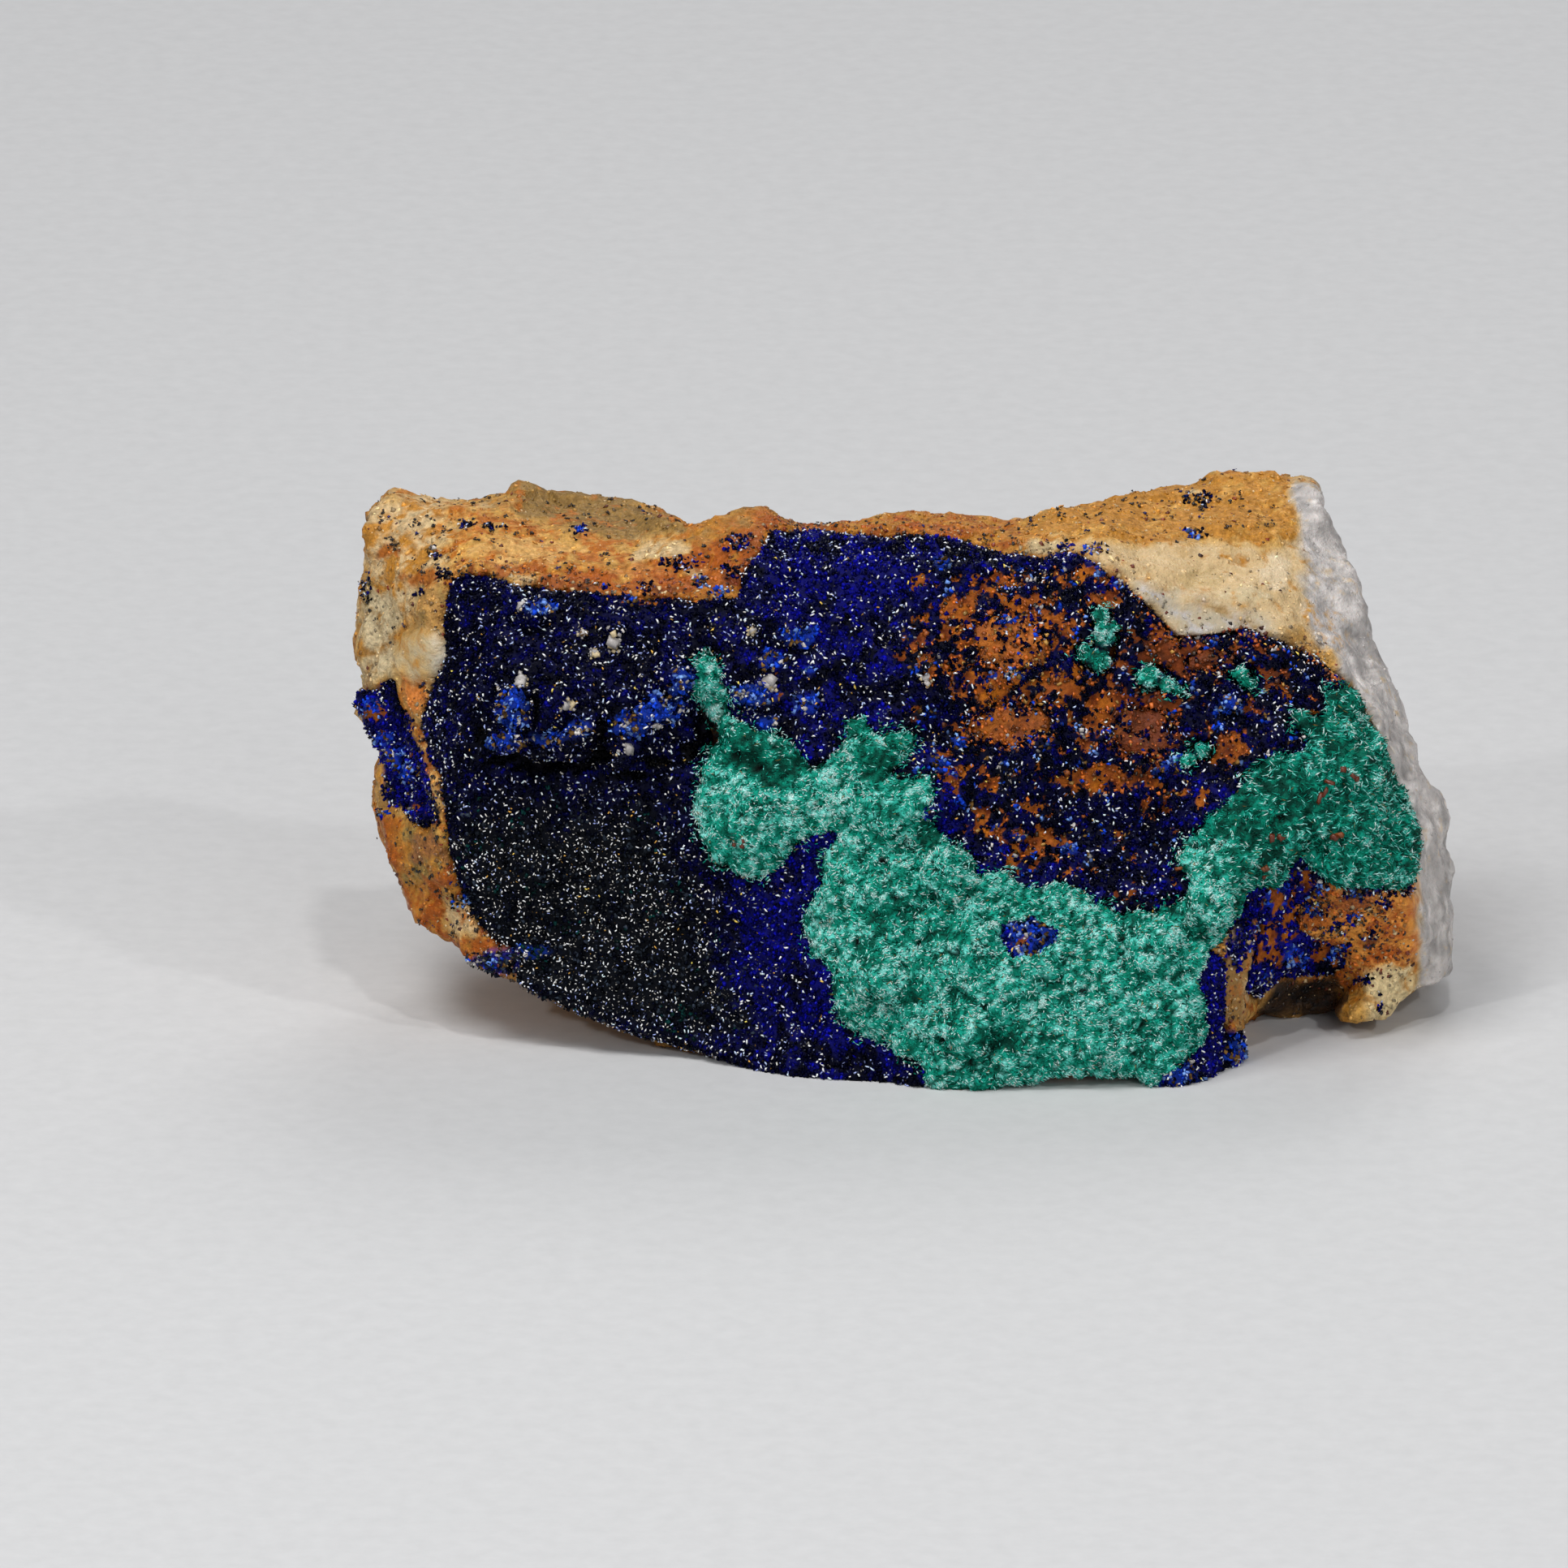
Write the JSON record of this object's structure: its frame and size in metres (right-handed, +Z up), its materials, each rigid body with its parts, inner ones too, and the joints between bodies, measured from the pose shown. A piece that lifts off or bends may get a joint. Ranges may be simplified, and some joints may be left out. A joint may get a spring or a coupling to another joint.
{
  "type": "azurite and malachite mineral specimen",
  "caption": "Hand specimen of dark blue azurite crystals with a green malachite crust on a broken block of orange-stained pale quartz, standing on its lower edge.",
  "frame": {"origin": "middle of the base of the specimen's bounding box, at the level of the flat break it stands on", "axes": "+X to the right along the specimen's length as the crusted face is looked at, +Y away from the viewer of that face, +Z up"},
  "size_m": [0.0698, 0.0356, 0.0326],
  "materials": {
    "quartz_matrix": "rough, stained orange and cream, grey-white on the right side",
    "azurite": "sparkling crust of small crystals",
    "malachite": "silky felt of fine needles"
  },
  "bodies": {
    "root": {"quartz_matrix": "quartz_matrix", "azurite_druse": "azurite", "azurite_window": "azurite", "azurite_side_patch": "azurite", "azurite_recess_patch": "azurite", "azurite_foot_patch": "azurite", "malachite_crust": "malachite", "malachite_tuft_top": "malachite", "malachite_tuft_middle": "malachite", "malachite_tuft_right": "malachite", "malachite_tuft_low": "malachite"}
  },
  "joints": []
}
